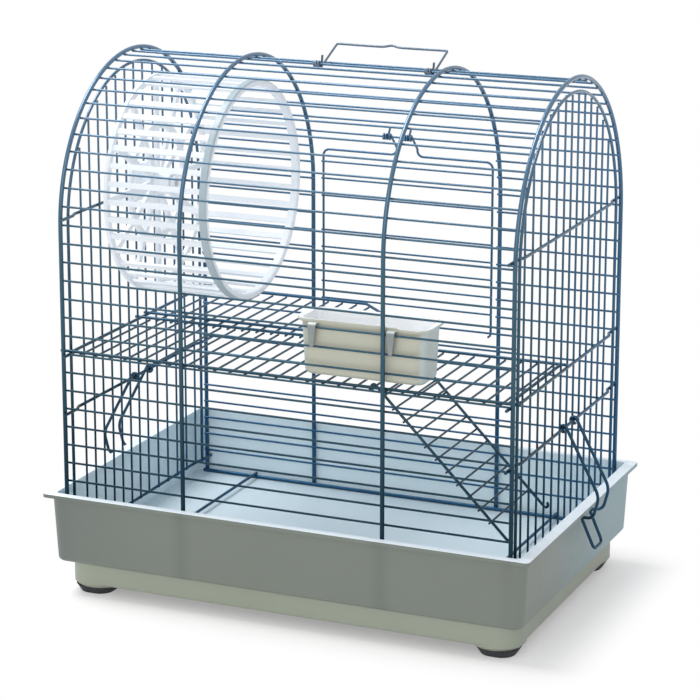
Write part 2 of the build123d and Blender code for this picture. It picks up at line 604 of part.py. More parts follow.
# ---- bowl ----
def make_bowl():
    # it hangs on the lowest front wire that keeps it clear of the shelf
    above_wire = LONG_WIRE / 2 + LOOSE_CLEARANCE + BOWL_TAB_THICKNESS + BOWL_RIM_RISE
    least_hang_z = shelf_top + BOWL_SHELF_GAP + BOWL_HEIGHT - above_wire
    hang_y, hang_z = wire_height(int((SPRING_HEIGHT + roof_quarter - least_hang_z) / WIRE_PITCH))
    front = -(hang_y - LONG_WIRE / 2 - 2 * LOOSE_CLEARANCE)
    tab_top = hang_z + LONG_WIRE / 2 + LOOSE_CLEARANCE + BOWL_TAB_THICKNESS
    top = tab_top + BOWL_RIM_RISE
    low = top - BOWL_HEIGHT
    half_x = BOWL_LENGTH / 2

    def outline(inset, back_inset, z, corner):
        size_x = 2 * (half_x - inset)
        size_y = BOWL_DEPTH - inset - back_inset
        centre = Pos(BOWL_CENTRE_X, front + inset / 2 + (BOWL_DEPTH - back_inset) / 2)
        return Plane.XY.offset(z) * (centre * RectangleRounded(size_x, size_y, corner))

    outer = loft([outline(BOWL_TAPER, BOWL_TAPER, low, BOWL_CORNER), outline(0, 0, top, BOWL_CORNER)])
    wall = BOWL_WALL
    inner = loft([outline(BOWL_TAPER + wall, BOWL_TAPER + wall, low + wall, BOWL_CORNER - wall),
                  outline(wall, wall, top, BOWL_CORNER - wall)])
    rim_outline = Pos(BOWL_CENTRE_X, front + (BOWL_DEPTH + BOWL_RIM) / 2) * RectangleRounded(
        BOWL_LENGTH + 2 * BOWL_RIM, BOWL_DEPTH + BOWL_RIM, BOWL_CORNER)
    rim = extrude(Plane.XY.offset(top - BOWL_TAB_THICKNESS) * rim_outline, amount=BOWL_TAB_THICKNESS)
    bowl = outer + rim - inner
    tab_back = front + wall / 2
    tab_front = -(hang_y + LONG_WIRE / 2 + LOOSE_CLEARANCE + BOWL_TAB_THICKNESS)
    for x in (BOWL_LEFT_TAB_X, BOWL_RIGHT_TAB_X):
        bridge = Pos(x, (tab_back + tab_front) / 2, tab_top - BOWL_TAB_THICKNESS / 2) * Box(
            BOWL_TAB_WIDTH, tab_back - tab_front, BOWL_TAB_THICKNESS)
        tongue = Pos(x, tab_front + BOWL_TAB_THICKNESS / 2, tab_top - BOWL_TAB_DROP / 2) * Box(
            BOWL_TAB_WIDTH, BOWL_TAB_THICKNESS, BOWL_TAB_DROP)
        bowl += bridge + tongue
    keep("bowl", bowl)


# ---- exercise wheel ----
def wheel_axis_y():
    """The axle passes midway between the two middle uprights of the left panel."""
    places = [-place for place in upright_places()]
    behind = min(place for place in places if place > 0)
    before = max(place for place in places if place <= 0)
    return (before + behind) / 2


def along_x(sketch, x, depth, y, z):
    """Extrudes a sketch drawn in Y and Z along X from x."""
    plane = Plane(origin=(x, y, z), x_dir=(0, 1, 0), z_dir=(1, 0, 0))
    return extrude(plane * sketch, amount=depth)


def make_wheel():
    y, z = wheel_axis_y(), wheel_z
    inner = WHEEL_RADIUS - WHEEL_RING_WIDTH
    ring = Circle(WHEEL_RADIUS) - Circle(inner)
    ring_x = wheel_front_x - WHEEL_RING_DEPTH
    front_ring = along_x(ring, ring_x, WHEEL_RING_DEPTH, y, z)
    front_ring = fillet(front_ring.edges().filter_by(GeomType.CIRCLE).group_by(Axis.X)[-1], WHEEL_RING_WIDTH * 0.3)
    keep("wheel_front_ring", front_ring)

    disc = Circle(WHEEL_RADIUS) - Circle(inner)
    middle = WHEEL_RADIUS * 0.52
    disc += Circle(middle + WHEEL_SPOKE_WIDTH / 2) - Circle(middle - WHEEL_SPOKE_WIDTH / 2)
    for i in range(WHEEL_SPOKES):
        spoke_length = inner - WHEEL_HUB_RADIUS + WHEEL_SPOKE_WIDTH
        spoke = Pos((inner + WHEEL_HUB_RADIUS) / 2, 0) * Rectangle(spoke_length, WHEEL_SPOKE_WIDTH)
        disc += Rot(0, 0, 360 / WHEEL_SPOKES * i) * spoke
    bore = AXLE_DIAMETER / 2 + RUNNING_CLEARANCE
    disc += Circle(WHEEL_HUB_RADIUS)
    disc -= Circle(bore)
    plate = along_x(disc, wheel_back_x, WHEEL_DISC_THICKNESS, y, z)
    hub = along_x(Circle(WHEEL_HUB_RADIUS) - Circle(bore), wheel_back_x, WHEEL_HUB_LENGTH, y, z)
    keep("wheel_back_disc", plate + hub)

    rungs = []
    rung_x = wheel_back_x + WHEEL_DISC_THICKNESS
    rung_radius = WHEEL_RADIUS - WHEEL_RUNG_THICKNESS
    for i in range(WHEEL_RUNGS):
        bar = Pos(rung_radius, 0) * Rectangle(WHEEL_RUNG_THICKNESS, WHEEL_RUNG_WIDTH)
        bar = Rot(0, 0, 360 / WHEEL_RUNGS * i) * bar
        rungs.append(along_x(bar, rung_x, ring_x - rung_x, y, z))
    keep("wheel_rungs", *rungs)

    plate_back = -(upright_inner_face - LOOSE_CLEARANCE)
    boss_end = wheel_back_x - AXLE_END_ROOM
    cap_x = wheel_back_x + WHEEL_HUB_LENGTH + AXLE_END_ROOM
    axle_start = plate_back
    axle_end = cap_x + CAP_THICKNESS
    pin = Circle(AXLE_DIAMETER / 2)
    keep("wheel_axle", along_x(pin, axle_start, axle_end - axle_start, y, z))
    keep("axle_cap", along_x(Circle(CAP_RADIUS) - pin, cap_x, CAP_THICKNESS, y, z))

    plate_outline = RectangleRounded(BRACKET_WIDTH, BRACKET_HEIGHT, BRACKET_PLATE)
    bracket = along_x(plate_outline - pin, plate_back, BRACKET_PLATE, y, z)
    bracket += along_x(Circle(BRACKET_BOSS) - pin, plate_back, boss_end - plate_back, y, z)
    # the tongue passes between two uprights and hooks down over the upper bar
    bar_top = upper_bar_z + CROSS_BAR_WIRE / 2 + WELD_GAP
    hook_in = -(bar_x + CROSS_BAR_WIRE / 2 + WELD_GAP)
    hook_out = hook_in - TONGUE_THICKNESS / 2
    tongue_length = plate_back - hook_out
    bracket += Pos((plate_back + hook_out) / 2, y, bar_top + TONGUE_THICKNESS / 2) * Box(
        tongue_length, TONGUE_WIDTH, TONGUE_THICKNESS)
    hook_height = TONGUE_THICKNESS + TONGUE_HOOK_DROP
    bracket += Pos((hook_in + hook_out) / 2, y, bar_top + TONGUE_THICKNESS - hook_height / 2) * Box(
        hook_in - hook_out, TONGUE_WIDTH, hook_height)
    keep("wheel_bracket", bracket)


make_tub()
make_plinth()
make_feet()
make_hoops()
make_long_wires()
make_bottom_rails()
make_panel("left", -1)
make_panel("right", 1)
make_shelf()
make_loft()
make_ladder()
make_door()
make_handle()
make_clips()
make_bowl()
make_wheel()

os.makedirs("parts", exist_ok=True)
for part_name, shape in parts.items():
    export_step(shape, os.path.join("parts", part_name + ".step"))
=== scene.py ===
"""A wire hamster cage on a plastic tub: its finishes, its detailed pieces and the studio."""

import json
import math

import bmesh
import bpy
from mathutils import Matrix, Vector


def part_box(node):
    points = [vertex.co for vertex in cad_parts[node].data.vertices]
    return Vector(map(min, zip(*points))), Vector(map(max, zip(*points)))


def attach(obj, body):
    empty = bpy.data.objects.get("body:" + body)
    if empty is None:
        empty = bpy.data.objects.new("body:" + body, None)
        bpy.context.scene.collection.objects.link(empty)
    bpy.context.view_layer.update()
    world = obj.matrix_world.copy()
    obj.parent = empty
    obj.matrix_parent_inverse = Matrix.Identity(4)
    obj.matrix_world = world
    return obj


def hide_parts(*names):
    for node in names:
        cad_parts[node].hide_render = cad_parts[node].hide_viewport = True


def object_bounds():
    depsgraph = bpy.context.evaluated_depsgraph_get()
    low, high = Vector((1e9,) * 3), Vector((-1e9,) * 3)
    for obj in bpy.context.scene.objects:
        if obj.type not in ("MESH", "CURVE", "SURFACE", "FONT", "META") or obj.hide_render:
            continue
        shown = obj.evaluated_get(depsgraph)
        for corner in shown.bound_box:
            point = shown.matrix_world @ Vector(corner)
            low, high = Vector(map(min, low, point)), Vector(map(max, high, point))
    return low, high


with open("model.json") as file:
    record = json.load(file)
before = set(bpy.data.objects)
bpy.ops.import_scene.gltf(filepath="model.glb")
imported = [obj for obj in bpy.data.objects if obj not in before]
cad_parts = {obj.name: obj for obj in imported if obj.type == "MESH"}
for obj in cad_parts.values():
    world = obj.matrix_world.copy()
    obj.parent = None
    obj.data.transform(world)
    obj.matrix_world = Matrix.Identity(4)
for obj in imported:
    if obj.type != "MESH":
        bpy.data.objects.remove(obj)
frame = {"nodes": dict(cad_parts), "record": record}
cad_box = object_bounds()
nodes = frame["nodes"]
low, high = cad_box

MM = 0.001


# ---- materials ----
class Value:
    """A number, colour or vector inside a material, which can be used in expressions."""

    def __init__(self, tree, socket):
        self.tree = tree
        self.socket = socket

    def node(self, kind, settings=None, sockets=None, output=0):
        """Adds any node: its settings are set first, then its sockets get values or links."""
        made = self.tree.nodes.new(kind)
        for name, value in (settings or {}).items():
            setattr(made, name, value)
        for key, value in (sockets or {}).items():
            give(self.tree, made.inputs[key], value)
        return Value(self.tree, made.outputs[output])

    def calculate(self, operation, *values):
        return self.node("ShaderNodeMath", {"operation": operation}, dict(enumerate(values)))

    def __add__(self, other):
        return self.calculate("ADD", self, other)

    def __radd__(self, other):
        return self.calculate("ADD", other, self)

    def __sub__(self, other):
        return self.calculate("SUBTRACT", self, other)

    def __rsub__(self, other):
        return self.calculate("SUBTRACT", other, self)

    def __mul__(self, other):
        return self.calculate("MULTIPLY", self, other)

    def __rmul__(self, other):
        return self.calculate("MULTIPLY", other, self)

    def __gt__(self, other):
        return self.calculate("GREATER_THAN", self, other)

    def __abs__(self):
        return self.calculate("ABSOLUTE", self)

    def __pow__(self, other):
        return self.calculate("POWER", self, other)


def give(tree, socket, value):
    if isinstance(value, Value):
        tree.links.new(value.socket, socket)
    else:
        socket.default_value = value


class Finish:
    """One material, with the values that its expressions start from."""

    def __init__(self, name, **plain):
        self.material = bpy.data.materials.new(name)
        self.material.use_nodes = True
        self.tree = self.material.node_tree
        self.shader = self.tree.nodes["Principled BSDF"]
        for socket, value in plain.items():
            self.shader.inputs[socket.replace("_", " ")].default_value = value
        start = Value(self.tree, None)
        self.node = start.node
        self.place = self.node("ShaderNodeTexCoord", output="Object")
        parts = self.node("ShaderNodeSeparateXYZ", sockets={0: self.place}).socket.node
        self.x, self.y, self.z = (Value(self.tree, out) for out in parts.outputs)

    def facing(self):
        """The three parts of the direction that the surface faces."""
        normal = self.node("ShaderNodeNewGeometry", output="Normal")
        parts = self.node("ShaderNodeSeparateXYZ", sockets={0: normal}).socket.node
        return [Value(self.tree, out) for out in parts.outputs]

    def noise(self, scale, detail=3.0):
        sockets = {"Vector": self.place, "Scale": scale, "Detail": detail}
        return self.node("ShaderNodeTexNoise", sockets=sockets, output="Fac")

    def ramp(self, value, start, end):
        """0 at the start, 1 at the end, smooth between them."""
        settings = {"interpolation_type": "SMOOTHSTEP"}
        sockets = {"Value": value, "From Min": start, "From Max": end}
        return self.node("ShaderNodeMapRange", settings, sockets)

    def mix(self, factor, one, other):
        """The first colour where the factor is 0, the other where it is 1."""
        sockets = {0: factor, 6: rgb(one), 7: rgb(other)}
        return self.node("ShaderNodeMix", {"data_type": "RGBA"}, sockets, output=2)

    def set(self, **values):
        for socket, value in values.items():
            give(self.tree, self.shader.inputs[socket.replace("_", " ")], value)

    def bump(self, height, distance, strength=1.0):
        sockets = {"Height": height, "Distance": distance, "Strength": strength}
        self.set(Normal=self.node("ShaderNodeBump", sockets=sockets))

    def put_on(self, piece):
        piece.data.materials.clear()
        piece.data.materials.append(self.material)


def rgb(value):
    """A colour written as three numbers gets its alpha."""
    if isinstance(value, Value):
        return value
    return (*value, 1.0)


def make_cage_paint():
    """Dark metallic paint, more glossy with height; painted light makes it lighter with height,
    with fine painted glints near the top.
    """
    paint = Finish("cage_paint", Coat_Roughness=0.12)
    # painted light and shade: dark low down, lighter towards the top where more light falls
    height = paint.ramp(paint.z, 0.07, 0.20)
    upper = paint.ramp(paint.z, 0.20, 0.34)
    colour = paint.mix(height, (0.004, 0.028, 0.045), (0.028, 0.090, 0.128))
    colour = paint.mix(upper, colour, (0.080, 0.175, 0.280))
    # painted light: the paint is made lighter and bluer towards the back
    colour = paint.mix(paint.ramp(paint.y, -0.07, 0.08) * 0.6, colour, (0.040, 0.150, 0.300))
    colour = paint.mix(paint.noise(45.0) * 0.3, colour, (0.012, 0.055, 0.110))
    # painted glints: light specks on the wires near the top
    glint_noise = paint.noise(2600.0, 2.0)
    colour = paint.mix((glint_noise > 0.62) * 0.25 * upper, colour, (0.24, 0.38, 0.48))
    paint.set(Base_Color=colour, Roughness=0.26 + 0.16 * paint.noise(160.0))
    paint.set(Metallic=0.85 - 0.4 * height, Coat_Weight=0.1 + 0.6 * upper)
    paint.bump(paint.noise(900.0), 0.00006, 0.5)
    return paint


def make_handle_paint():
    paint = Finish("handle_paint", Metallic=0.5, Coat_Weight=0.4, Coat_Roughness=0.2)
    colour = paint.mix(paint.noise(60.0), (0.085, 0.130, 0.180), (0.15, 0.21, 0.28))
    paint.set(Base_Color=colour, Roughness=0.28 + 0.15 * paint.noise(200.0))
    paint.bump(paint.noise(900.0), 0.00005, 0.4)
    return paint


def make_tub_plastic():
    """Painted light and shade: pale inside and on the rim, dull and dark outside, and lighter and
    bluer towards the back of its two ends.
    """
    plastic = Finish("tub_plastic", IOR=1.49)
    high_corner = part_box("tub")[1]
    face_x, face_y, face_z = plastic.facing()
    # painted shade: faces that look out get a dark colour, faces inside a pale one
    outside = plastic.ramp(face_x * plastic.x * 6.0 + face_y * plastic.y * 9.0, -0.05, 0.15)
    top = plastic.ramp(face_z, 0.5, 0.85)
    # painted light: the two ends are lighter and bluer towards the back
    side = plastic.ramp(abs(face_x), 0.3, 0.8) * plastic.ramp(plastic.y, -0.10, 0.09)
    outer = plastic.mix(side, (0.157, 0.178, 0.148), (0.202, 0.312, 0.345))
    # painted shadow: the plastic is a little darker below each hoop's legs
    for hoop, depth in (("hoop_right_middle", 0.36), ("hoop_right_end", 0.20)):
        leg = (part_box(hoop)[0].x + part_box(hoop)[1].x) / 2
        leg_shadow = 1.0 - plastic.ramp(abs(abs(plastic.x) - leg), 0.0, 0.009)
        outer = plastic.mix(leg_shadow * depth, outer, (0.09, 0.10, 0.09))
    # the painted shade also deepens towards its left end
    leftward = 1.0 - plastic.ramp(plastic.x, -0.17, -0.06)
    outer = plastic.mix(leftward * 0.5, outer, (0.11, 0.13, 0.12))
    colour = plastic.mix(outside, (0.82, 0.95, 1.0), outer)
    # painted light: the faces that look up are lit, the rim most of all
    rim = plastic.ramp(plastic.z, high_corner.z - 0.004, high_corner.z - 0.001)
    lit_top_colour = plastic.mix(rim, (0.66, 0.78, 0.84), (0.84, 0.91, 0.97))
    colour = plastic.mix(top, colour, lit_top_colour)
    cloud = plastic.noise(14.0, 2.0)
    colour = plastic.mix(cloud * 0.10, colour, (0.30, 0.34, 0.34))
    plastic.set(Base_Color=colour, Roughness=0.34 + 0.12 * plastic.noise(120.0))
    plastic.bump(plastic.noise(700.0), 0.00004, 0.35)
    return plastic


def make_plinth_plastic():
    plastic = Finish("plinth_plastic", IOR=1.49)
    colour = plastic.mix(plastic.noise(12.0, 2.0), (0.262, 0.290, 0.225), (0.308, 0.336, 0.268))
    plastic.set(Base_Color=colour, Roughness=0.36 + 0.12 * plastic.noise(150.0))
    plastic.bump(plastic.noise(700.0), 0.00004, 0.35)
    return plastic


def make_foot_rubber():
    rubber = Finish("foot_rubber")
    colour = rubber.mix(rubber.noise(90.0), (0.010, 0.012, 0.014), (0.040, 0.042, 0.046))
    rubber.set(Base_Color=colour, Roughness=0.62 + 0.2 * rubber.noise(200.0))
    rubber.bump(rubber.noise(1500.0), 0.0001, 0.6)
    return rubber


def make_bowl_plastic():
    """Painted light and shade: white inside, darker on the faces that look away from the middle of
    the bowl, and lighter and bluer on its ends.
    """
    plastic = Finish("bowl_plastic", IOR=1.49)
    low_corner, high_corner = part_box("bowl")
    middle = (low_corner + high_corner) / 2
    face_x, face_y, _ = plastic.facing()
    outward = face_x * (plastic.x - middle.x) * 24.0 + face_y * (plastic.y - middle.y) * 60.0
    # painted shade on the faces that look out, painted light on the ends
    outside = plastic.ramp(outward, 0.10, 0.50)
    ends = plastic.ramp(abs(face_x), 0.3, 0.8) * 0.6
    outer = plastic.mix(ends, (0.45, 0.455, 0.365), (0.60, 0.72, 0.74))
    colour = plastic.mix(outside, (0.98, 0.99, 1.0), outer)
    colour = plastic.mix(plastic.noise(25.0, 2.0) * 0.12, colour, (0.52, 0.54, 0.50))
    plastic.set(Base_Color=colour, Roughness=0.30 + 0.12 * plastic.noise(180.0))
    plastic.bump(plastic.noise(800.0), 0.00004, 0.3)
    return plastic


def make_hook_plastic():
    """The same plastic on the hooks: light on top, in shade on the tongues."""
    plastic = Finish("bowl_hook_plastic", IOR=1.49)
    # painted light on the faces that look up, painted shade on the tongues below
    top = plastic.ramp(plastic.facing()[2], 0.2, 0.8)
    colour = plastic.mix(top, (0.20, 0.225, 0.225), (0.80, 0.82, 0.79))
    colour = plastic.mix(plastic.noise(60.0, 2.0) * 0.2, colour, (0.40, 0.42, 0.40))
    plastic.set(Base_Color=colour, Roughness=0.30 + 0.12 * plastic.noise(180.0))
    plastic.bump(plastic.noise(800.0), 0.00004, 0.3)
    return plastic


def make_wheel_plastic():
    plastic = Finish("wheel_plastic", IOR=1.49, Emission_Strength=0.04)
    colour = plastic.mix(plastic.noise(25.0, 2.0), (0.78, 0.83, 0.88), (0.90, 0.93, 0.96))
    # painted shade: the thick ring is darker on its outer side
    low_corner, high_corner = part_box("wheel_front_ring")
    middle = (low_corner + high_corner) / 2
    _, face_y, face_z = plastic.facing()
    outward = face_y * (plastic.y - middle.y) + face_z * (plastic.z - middle.z)
    on_ring = plastic.x > low_corner.x - 0.0005
    ring_shade = on_ring * plastic.ramp(outward, 0.0, 0.05) * 0.8
    colour = plastic.mix(ring_shade, colour, (0.30, 0.39, 0.43))
    # a little glow stands for the light that comes through the thin white plastic
    plastic.set(Base_Color=colour, Emission_Color=colour)
    plastic.set(Roughness=0.28 + 0.12 * plastic.noise(180.0))
    plastic.bump(plastic.noise(800.0), 0.00004, 0.3)
    return plastic


def make_axle_steel():
    steel = Finish("axle_steel", Metallic=1.0)
    colour = steel.mix(steel.noise(60.0), (0.42, 0.44, 0.46), (0.62, 0.64, 0.66))
    steel.set(Base_Color=colour, Roughness=0.25 + 0.15 * steel.noise(400.0))
    steel.bump(steel.noise(2500.0), 0.00003, 0.4)
    return steel


cage_paint = make_cage_paint()
handle_paint = make_handle_paint()
tub_plastic = make_tub_plastic()
plinth_plastic = make_plinth_plastic()
foot_rubber = make_foot_rubber()
bowl_plastic = make_bowl_plastic()
hook_plastic = make_hook_plastic()
wheel_plastic = make_wheel_plastic()
axle_steel = make_axle_steel()

# a node takes the first finish whose start fits its name, and every wire takes the cage's paint
finishes = [
    ("tub", tub_plastic),
    ("plinth", plinth_plastic),
    ("foot", foot_rubber),
    ("handle", handle_paint),
    ("bowl", bowl_plastic),
    ("wheel_axle", axle_steel),
    ("wheel", wheel_plastic),
    ("axle_cap", wheel_plastic),
    ("", cage_paint),
]
for name in nodes:
    finish = next(finish for start, finish in finishes if name.startswith(start))
    finish.put_on(nodes[name])


# ---- modelling helpers ----
def add_block(name, low_corner, high_corner):
    """Starts a piece from a block between two corners, and leaves it in edit mode."""
    bpy.ops.object.select_all(action="DESELECT")
    low_corner, high_corner = Vector(low_corner), Vector(high_corner)
    bpy.ops.mesh.primitive_cube_add(size=1.0, location=(low_corner + high_corner) / 2)
    piece = bpy.context.object
    piece.name = name
    piece.scale = high_corner - low_corner
    bpy.ops.object.transform_apply(location=True, scale=True)
    bpy.ops.object.mode_set(mode="EDIT")
    bpy.ops.mesh.select_all(action="DESELECT")
    return piece


def pick(kind, test):
    """Selects the parts that pass a test.

    The test gets a vertex's place, an edge's two ends, or a face's middle and normal.
    """
    modes = {"verts": "VERT", "edges": "EDGE", "faces": "FACE"}
    bpy.ops.mesh.select_mode(type=modes[kind])
    bpy.ops.mesh.select_all(action="DESELECT")
    mesh = bmesh.from_edit_mesh(bpy.context.object.data)
    for part in getattr(mesh, kind):
        if kind == "verts":
            part.select = test(part.co)
        elif kind == "edges":
            one, other = (vert.co for vert in part.verts)
            part.select = test(one, other)
        else:
            part.select = test(part.calc_center_median(), part.normal)
    mesh.select_flush_mode()
    bmesh.update_edit_mesh(bpy.context.object.data)


def cut_across(axis, places):
    """Divides the whole piece by planes square to an axis."""
    for place in places:
        bpy.ops.mesh.select_all(action="SELECT")
        normal = Vector((0.0, 0.0, 0.0))
        normal[axis] = 1.0
        bpy.ops.mesh.bisect(plane_co=normal * place, plane_no=normal)


def extrude_down(drop, share_x, share_y, centre):
    """Extrudes the selected faces down, and draws them in towards the centre."""
    bpy.ops.mesh.extrude_region_move(TRANSFORM_OT_translate={"value": (0, 0, -drop)})
    bpy.ops.transform.resize(value=(share_x, share_y, 1.0), center_override=tuple(centre))


def finish_piece(piece, body, slot, material, *replaced):
    """Back in object mode, the piece rides on its body and gets its finish."""
    if bpy.context.mode == "EDIT_MESH":
        bpy.ops.mesh.select_all(action="SELECT")
        bpy.ops.mesh.remove_doubles(threshold=0.00001)
        bpy.ops.mesh.normals_make_consistent(inside=False)
        bpy.ops.object.mode_set(mode="OBJECT")
    material.put_on(piece)
    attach(piece, body)
    if replaced:
        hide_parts(*replaced)


def soften(piece, width, segments=2):
    """Rounds the sharp edges with an applied bevel."""
    bpy.ops.object.mode_set(mode="OBJECT")
    bevel = piece.modifiers.new("soft_edges", "BEVEL")
    bevel.width = width
    bevel.segments = segments
    bevel.limit_method = "ANGLE"
    bevel.angle_limit = math.radians(35)
    bpy.ops.object.modifier_apply(modifier=bevel.name)
    bpy.ops.object.shade_smooth_by_angle(angle=math.radians(40))
    bpy.ops.object.mode_set(mode="EDIT")


def round_corners(points, reach):
    """Puts a point on each side of every corner, so that the spline bends there only."""
    rounded = [points[0]]
    for before, corner, after in zip(points, points[1:], points[2:]):
        rounded += [corner + (before - corner).normalized() * reach, corner,
                    corner + (after - corner).normalized() * reach]
    return rounded + [points[-1]]


COIL_WIRE = 1.5 * MM
COIL_RADIUS = 1.55 * MM         # from the wound wire's middle to the middle of the wire inside
COIL_PITCH = 1.6 * MM


def coil(centre, start, turns):
    """Control points of a wire wound round another that runs along X, eight to a turn."""
    # the curve touches the middles of the lines between its control points
    wide = COIL_RADIUS / math.cos(math.pi / 8)
    points = []
    for step in range(int(turns * 8) + 1):
        angle = math.radians(start) + step * math.pi / 4
        along = COIL_PITCH * step / 8
        points.append(centre + Vector((along, wide * math.cos(angle), wide * math.sin(angle))))
    return points


def bend_wire(name, points, thickness):
    """A round wire along a smooth line, made a mesh with closed ends."""
    curve = bpy.data.curves.new(name, "CURVE")
    curve.dimensions = "3D"
    curve.bevel_depth = thickness / 2
    curve.bevel_resolution = 4
    curve.resolution_u = 6
    curve.use_fill_caps = True
    spline = curve.splines.new("NURBS")
    spline.points.add(len(points) - 1)
    for point, place in zip(spline.points, points):
        point.co = (*place, 1.0)
    spline.order_u = 3
    spline.use_endpoint_u = True
    piece = bpy.data.objects.new(name, curve)
    bpy.context.scene.collection.objects.link(piece)
    bpy.ops.object.select_all(action="DESELECT")
    bpy.context.view_layer.objects.active = piece
    piece.select_set(True)
    bpy.ops.object.convert(target="MESH")
    bpy.ops.object.shade_smooth_by_angle(angle=math.radians(50))
    bpy.ops.object.mode_set(mode="EDIT")
    return piece


# ---- food bowl ----
BOWL_RIM = 2.0 * MM             # how far the plain bowl's rim stands out at its ends and its back
BOWL_CORNER = 7 * MM
BOWL_BOTTOM = (0.962, 0.90)     # the bottom's length and depth, as shares of those at the top
BOWL_BOTTOM_ROUND = 3 * MM
BOWL_WALL = 1.1 * MM
# each step of the hollow: mm down, and the share of its size from front to back that is kept
BOWL_HOLLOW = ((2, 1.0), (24, 0.97), (6.5, 0.94), (1.2, 0.90))
FLANGE_HEIGHT = 1.6 * MM
FLANGE_REACH = 2.1 * MM
FLANGE_FRONT = 0.2              # in front it stands out by this share of its reach only
FLANGE_BETWEEN_HOOKS = 0.2 * MM
FLANGE_FLARE = 0.6 * MM         # its ends are pulled out by this
FLANGE_LIFT = 0.5 * MM          # and up by this
FLANGE_DIP = 0.6 * MM           # right of the right hook it dips by this
HOOK_REACH = 3.9 * MM           # from the bowl's front wall to the front of its hooks
HOOK_PLACES = (12.2 * MM, 63.9 * MM)  # from the left end of the rim to the middle of each hook
HOOK_WIDTH = 5.4 * MM
HOOK_THICKNESS = 1.6 * MM
HOOK_DROP = 2.0 * MM            # from the top of the rim to the top of the hooks
HOOK_ROOT = 1.2 * MM            # how far a hook goes into the bowl's wall
# each step of the tongue: mm down, and the share of its width that is kept
HOOK_TONGUE = ((1.5, 0.95), (5.5, 0.80), (5.0, 0.72), (0.9, 0.7))


def make_bowl():
    box_low, box_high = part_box("bowl")
    wall_low = Vector((box_low.x + BOWL_RIM, box_low.y + HOOK_REACH, box_low.z))
    wall_high = Vector((box_high.x - BOWL_RIM, box_high.y - BOWL_RIM, box_high.z))
    hooks = [box_low.x + place for place in HOOK_PLACES]
    bowl = add_block("bowl_dish", wall_low, wall_high)
    shape_bowl_walls(wall_low, wall_high, hooks)
    hollow_bowl(wall_low, wall_high)
    add_bowl_flange(wall_low, wall_high, hooks)
    soften(bowl, 0.3 * MM)
    finish_piece(bowl, "bowl", "bowl_plastic", bowl_plastic, "bowl")
    for number, x in enumerate(hooks):
        make_bowl_hook(number, x, box_low, box_high)


def shape_bowl_walls(wall_low, wall_high, hooks):
    """Rounded corners, walls that draw in towards a rounded bottom, and cuts for the flange."""
    middle = (wall_low + wall_high) / 2
    pick("edges", lambda one, other: abs(one.z - other.z) > 10 * MM)
    bpy.ops.mesh.bevel(offset=BOWL_CORNER, segments=6, affect="EDGES")
    pick("verts", lambda point: point.z < middle.z)
    bpy.ops.transform.resize(value=(*BOWL_BOTTOM, 1.0), center_override=tuple(middle))
    pick("faces", lambda point, normal: normal.z < -0.9)
    bpy.ops.mesh.region_to_loop()
    bpy.ops.mesh.bevel(offset=BOWL_BOTTOM_ROUND, segments=4, affect="EDGES")
    cuts = [hooks[0] + step * MM for step in (-5, -2.6, 2.6, 6)]
    cuts += [middle.x + step * MM for step in (-8, 2)]
    cuts += [hooks[1] + step * MM for step in (-6, -2.6, 2.6, 5)]
    cut_across(0, cuts)
    cut_across(2, [wall_high.z - FLANGE_HEIGHT])


def hollow_bowl(wall_low, wall_high):
    """The top face goes down inside in steps, which draw in more and more near the bottom."""
    middle = (wall_low + wall_high) / 2
    pick("faces", lambda point, normal: normal.z > 0.9)
    bpy.ops.mesh.inset(thickness=BOWL_WALL)
    for drop, share in BOWL_HOLLOW:
        extrude_down(drop * MM, share ** 0.5, share, middle)


def add_bowl_flange(wall_low, wall_high, hooks):
    """A flange turned out round the top, cut back in front so that it passes behind the wires."""
    middle = (wall_low + wall_high) / 2
    front = wall_low.y
    near_top = wall_high.z - 3 * MM

    def faces_out(point, normal):
        if abs(normal.z) >= 0.3 or point.z <= wall_high.z - FLANGE_HEIGHT:
            return False
        on_end = abs(point.x - middle.x) > 41 * MM
        on_side = point.y < front + 0.8 * MM or point.y > wall_high.y - 0.8 * MM
        outward = normal.x * (point.x - middle.x) + normal.y * (point.y - middle.y) > 0
        return on_end or on_side or outward

    pick("faces", faces_out)
    bpy.ops.mesh.extrude_region_shrink_fatten(TRANSFORM_OT_shrink_fatten={"value": FLANGE_REACH})
    pick("verts", lambda point: point.y < front - 1 * MM
         and hooks[0] + 5 * MM < point.x < hooks[1] - 5 * MM)
    bpy.ops.transform.translate(value=(0, FLANGE_REACH - FLANGE_BETWEEN_HOOKS, 0))
    pick("verts", lambda point: point.y < front - 0.05 * MM)
    bpy.ops.transform.resize(value=(1.0, FLANGE_FRONT, 1.0),
                             center_override=(middle.x, front, middle.z))
    # both ends flare
    for side, end in ((1, wall_high.x), (-1, wall_low.x)):
        pick("verts", lambda point: point.z > near_top and side * (point.x - end) > 1 * MM)
        bpy.ops.transform.translate(value=(side * FLANGE_FLARE, 0, FLANGE_LIFT))
    pick("verts", lambda point: point.z > near_top and point.y < front + 3 * MM
         and hooks[1] + 4 * MM < point.x < wall_high.x - 3 * MM)
    bpy.ops.transform.translate(value=(0, 0, -FLANGE_DIP))


